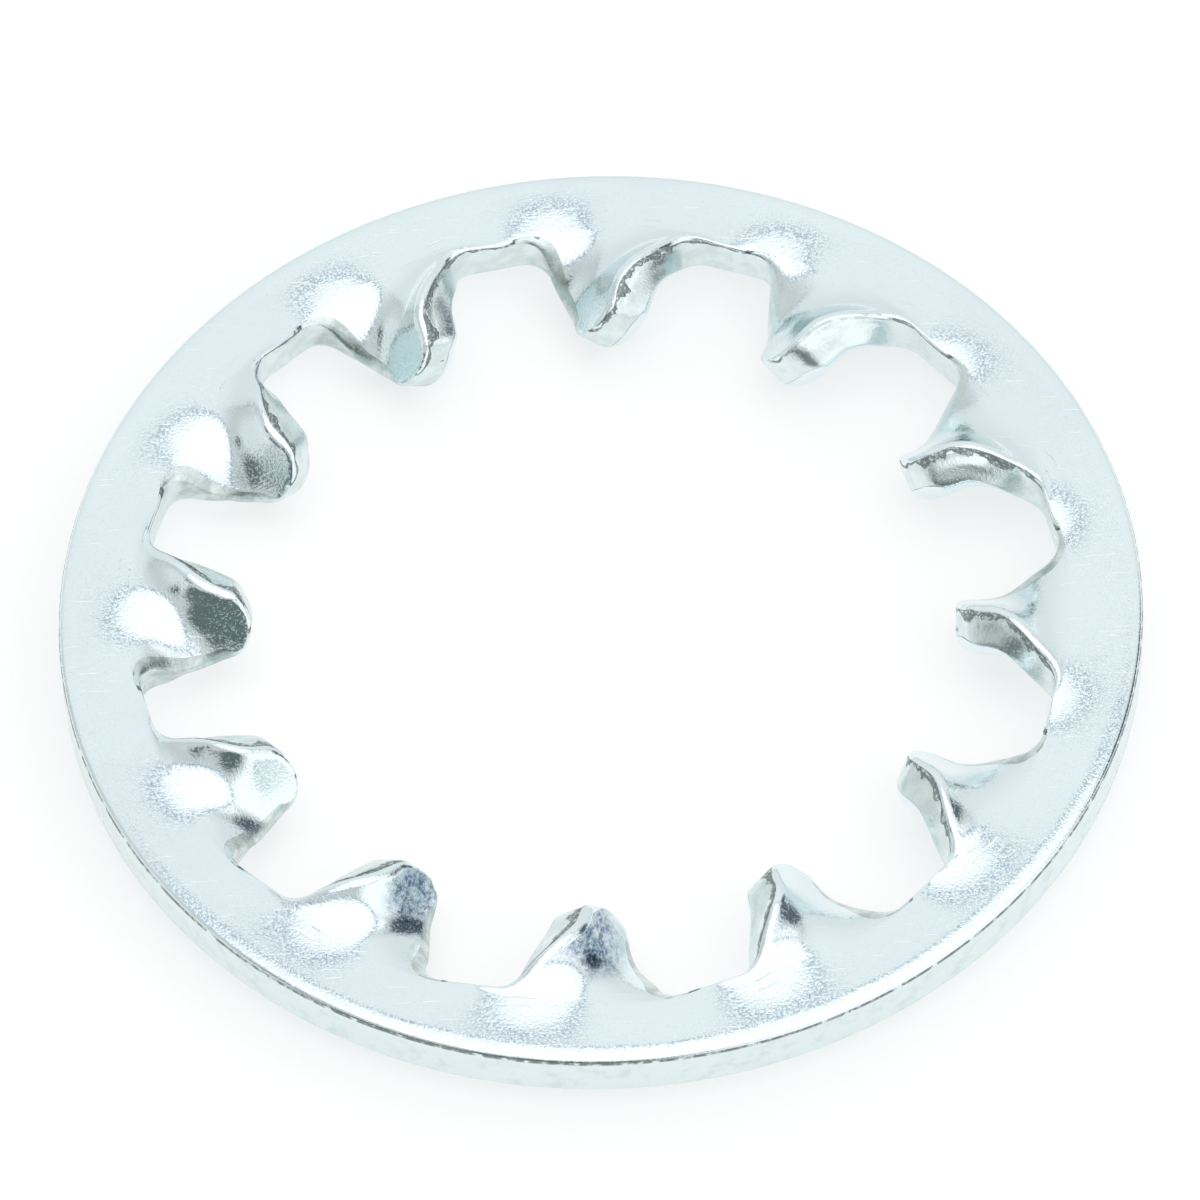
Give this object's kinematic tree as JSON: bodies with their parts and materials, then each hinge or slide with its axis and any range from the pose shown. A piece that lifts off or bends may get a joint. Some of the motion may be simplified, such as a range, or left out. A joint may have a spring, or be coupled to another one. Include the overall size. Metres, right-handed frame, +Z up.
{
  "type": "internal-tooth lock washer",
  "caption": "Flat steel ring with teeth on its inner edge, each twisted about its own centre line so that its corners bite the bolt head or nut and the surface under it.",
  "frame": {"origin": "on the bore axis, at the height of the hanging tooth corners that the washer lies on", "axes": "+Z up along the bore axis, square to the flat ring"},
  "size_m": [0.026, 0.026, 0.0025],
  "materials": {
    "zinc_plate": "bright zinc plating, satin, over blanked sheet steel"
  },
  "bodies": {
    "root": {"lock_washer": "zinc_plate"}
  },
  "joints": []
}
